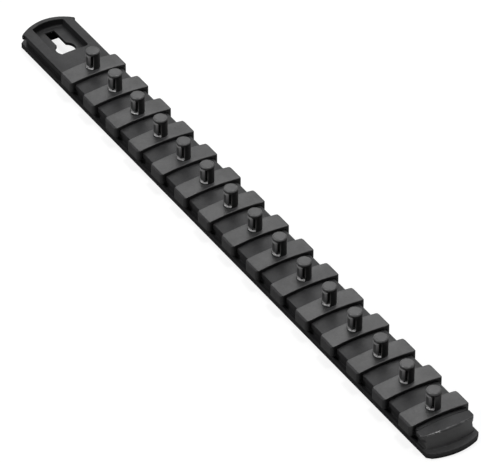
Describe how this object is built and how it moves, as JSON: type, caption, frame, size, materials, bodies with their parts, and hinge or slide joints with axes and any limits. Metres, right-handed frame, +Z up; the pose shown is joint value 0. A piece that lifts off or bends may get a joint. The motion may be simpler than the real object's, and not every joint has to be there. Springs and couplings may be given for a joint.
{
  "type": "socket rail with sliding post clips",
  "caption": "Flat black plastic rail with sliding saddle clips, each with a round post and spring tongue that holds a small drive socket; keyhole at one end.",
  "frame": {"origin": "middle of the rail's underside, on the surface it lies on", "axes": "+X along the rail towards the rounded nose, +Y across it, +Z up along the posts"},
  "size_m": [0.33, 0.0284, 0.0199],
  "materials": {
    "rail_plastic": "fine satin moulded black",
    "nose_plastic": "fine satin moulded black",
    "clip_plastic": "lightly grained moulded black",
    "tongue_plastic": "satin moulded black"
  },
  "bodies": {
    "rail": {"rail": "rail_plastic", "end_stop": "nose_plastic"},
    "clip_01": {"clip_01": "clip_plastic"},
    "clip_02": {"clip_02": "clip_plastic"},
    "clip_03": {"clip_03": "clip_plastic"},
    "clip_04": {"clip_04": "clip_plastic"},
    "clip_05": {"clip_05": "clip_plastic"},
    "clip_06": {"clip_06": "clip_plastic"},
    "clip_07": {"clip_07": "clip_plastic"},
    "clip_08": {"clip_08": "clip_plastic"},
    "clip_09": {"clip_09": "clip_plastic"},
    "clip_10": {"clip_10": "clip_plastic"},
    "clip_11": {"clip_11": "clip_plastic"},
    "clip_12": {"clip_12": "clip_plastic"},
    "clip_13": {"clip_13": "clip_plastic"},
    "clip_14": {"clip_14": "clip_plastic"},
    "clip_15": {"clip_15": "clip_plastic"},
    "tongue_01": {"tongue_01": "tongue_plastic"},
    "tongue_02": {"tongue_02": "tongue_plastic"},
    "tongue_03": {"tongue_03": "tongue_plastic"},
    "tongue_04": {"tongue_04": "tongue_plastic"},
    "tongue_05": {"tongue_05": "tongue_plastic"},
    "tongue_06": {"tongue_06": "tongue_plastic"},
    "tongue_07": {"tongue_07": "tongue_plastic"},
    "tongue_08": {"tongue_08": "tongue_plastic"},
    "tongue_09": {"tongue_09": "tongue_plastic"},
    "tongue_10": {"tongue_10": "tongue_plastic"},
    "tongue_11": {"tongue_11": "tongue_plastic"},
    "tongue_12": {"tongue_12": "tongue_plastic"},
    "tongue_13": {"tongue_13": "tongue_plastic"},
    "tongue_14": {"tongue_14": "tongue_plastic"},
    "tongue_15": {"tongue_15": "tongue_plastic"}
  },
  "joints": [
    {"name": "clip_slide_01", "type": "slide", "parent": "rail", "child": "clip_01", "axis": [1, 0, 0], "range_m": [-0.0004, 0.00475]},
    {"name": "clip_slide_02", "type": "slide", "parent": "rail", "child": "clip_02", "axis": [1, 0, 0], "range_m": [-0.00475, 0.00475]},
    {"name": "clip_slide_03", "type": "slide", "parent": "rail", "child": "clip_03", "axis": [1, 0, 0], "range_m": [-0.00475, 0.00475]},
    {"name": "clip_slide_04", "type": "slide", "parent": "rail", "child": "clip_04", "axis": [1, 0, 0], "range_m": [-0.00475, 0.00475]},
    {"name": "clip_slide_05", "type": "slide", "parent": "rail", "child": "clip_05", "axis": [1, 0, 0], "range_m": [-0.00475, 0.00475]},
    {"name": "clip_slide_06", "type": "slide", "parent": "rail", "child": "clip_06", "axis": [1, 0, 0], "range_m": [-0.00475, 0.00475]},
    {"name": "clip_slide_07", "type": "slide", "parent": "rail", "child": "clip_07", "axis": [1, 0, 0], "range_m": [-0.00475, 0.00475]},
    {"name": "clip_slide_08", "type": "slide", "parent": "rail", "child": "clip_08", "axis": [1, 0, 0], "range_m": [-0.00475, 0.00475]},
    {"name": "clip_slide_09", "type": "slide", "parent": "rail", "child": "clip_09", "axis": [1, 0, 0], "range_m": [-0.00475, 0.00475]},
    {"name": "clip_slide_10", "type": "slide", "parent": "rail", "child": "clip_10", "axis": [1, 0, 0], "range_m": [-0.00475, 0.00475]},
    {"name": "clip_slide_11", "type": "slide", "parent": "rail", "child": "clip_11", "axis": [1, 0, 0], "range_m": [-0.00475, 0.00475]},
    {"name": "clip_slide_12", "type": "slide", "parent": "rail", "child": "clip_12", "axis": [1, 0, 0], "range_m": [-0.00475, 0.00475]},
    {"name": "clip_slide_13", "type": "slide", "parent": "rail", "child": "clip_13", "axis": [1, 0, 0], "range_m": [-0.00475, 0.00475]},
    {"name": "clip_slide_14", "type": "slide", "parent": "rail", "child": "clip_14", "axis": [1, 0, 0], "range_m": [-0.00475, 0.00475]},
    {"name": "clip_slide_15", "type": "slide", "parent": "rail", "child": "clip_15", "axis": [1, 0, 0], "range_m": [-0.00475, 0.0014]},
    {"name": "tongue_flex_01", "type": "hinge", "parent": "clip_01", "child": "tongue_01", "pos_m": [-0.119, -0.00215, 0.012], "axis": [1, 0, 0], "range_deg": [-5, 0], "stiffness_Nm_per_rad": 0.05},
    {"name": "tongue_flex_02", "type": "hinge", "parent": "clip_02", "child": "tongue_02", "pos_m": [-0.1, -0.00215, 0.012], "axis": [1, 0, 0], "range_deg": [-5, 0], "stiffness_Nm_per_rad": 0.05},
    {"name": "tongue_flex_03", "type": "hinge", "parent": "clip_03", "child": "tongue_03", "pos_m": [-0.081, -0.00215, 0.012], "axis": [1, 0, 0], "range_deg": [-5, 0], "stiffness_Nm_per_rad": 0.05},
    {"name": "tongue_flex_04", "type": "hinge", "parent": "clip_04", "child": "tongue_04", "pos_m": [-0.062, -0.00215, 0.012], "axis": [1, 0, 0], "range_deg": [-5, 0], "stiffness_Nm_per_rad": 0.05},
    {"name": "tongue_flex_05", "type": "hinge", "parent": "clip_05", "child": "tongue_05", "pos_m": [-0.043, -0.00215, 0.012], "axis": [1, 0, 0], "range_deg": [-5, 0], "stiffness_Nm_per_rad": 0.05},
    {"name": "tongue_flex_06", "type": "hinge", "parent": "clip_06", "child": "tongue_06", "pos_m": [-0.024, -0.00215, 0.012], "axis": [1, 0, 0], "range_deg": [-5, 0], "stiffness_Nm_per_rad": 0.05},
    {"name": "tongue_flex_07", "type": "hinge", "parent": "clip_07", "child": "tongue_07", "pos_m": [-0.005, -0.00215, 0.012], "axis": [1, 0, 0], "range_deg": [-5, 0], "stiffness_Nm_per_rad": 0.05},
    {"name": "tongue_flex_08", "type": "hinge", "parent": "clip_08", "child": "tongue_08", "pos_m": [0.014, -0.00215, 0.012], "axis": [1, 0, 0], "range_deg": [-5, 0], "stiffness_Nm_per_rad": 0.05},
    {"name": "tongue_flex_09", "type": "hinge", "parent": "clip_09", "child": "tongue_09", "pos_m": [0.033, -0.00215, 0.012], "axis": [1, 0, 0], "range_deg": [-5, 0], "stiffness_Nm_per_rad": 0.05},
    {"name": "tongue_flex_10", "type": "hinge", "parent": "clip_10", "child": "tongue_10", "pos_m": [0.052, -0.00215, 0.012], "axis": [1, 0, 0], "range_deg": [-5, 0], "stiffness_Nm_per_rad": 0.05},
    {"name": "tongue_flex_11", "type": "hinge", "parent": "clip_11", "child": "tongue_11", "pos_m": [0.071, -0.00215, 0.012], "axis": [1, 0, 0], "range_deg": [-5, 0], "stiffness_Nm_per_rad": 0.05},
    {"name": "tongue_flex_12", "type": "hinge", "parent": "clip_12", "child": "tongue_12", "pos_m": [0.09, -0.00215, 0.012], "axis": [1, 0, 0], "range_deg": [-5, 0], "stiffness_Nm_per_rad": 0.05},
    {"name": "tongue_flex_13", "type": "hinge", "parent": "clip_13", "child": "tongue_13", "pos_m": [0.109, -0.00215, 0.012], "axis": [1, 0, 0], "range_deg": [-5, 0], "stiffness_Nm_per_rad": 0.05},
    {"name": "tongue_flex_14", "type": "hinge", "parent": "clip_14", "child": "tongue_14", "pos_m": [0.128, -0.00215, 0.012], "axis": [1, 0, 0], "range_deg": [-5, 0], "stiffness_Nm_per_rad": 0.05},
    {"name": "tongue_flex_15", "type": "hinge", "parent": "clip_15", "child": "tongue_15", "pos_m": [0.147, -0.00215, 0.012], "axis": [1, 0, 0], "range_deg": [-5, 0], "stiffness_Nm_per_rad": 0.05}
  ]
}
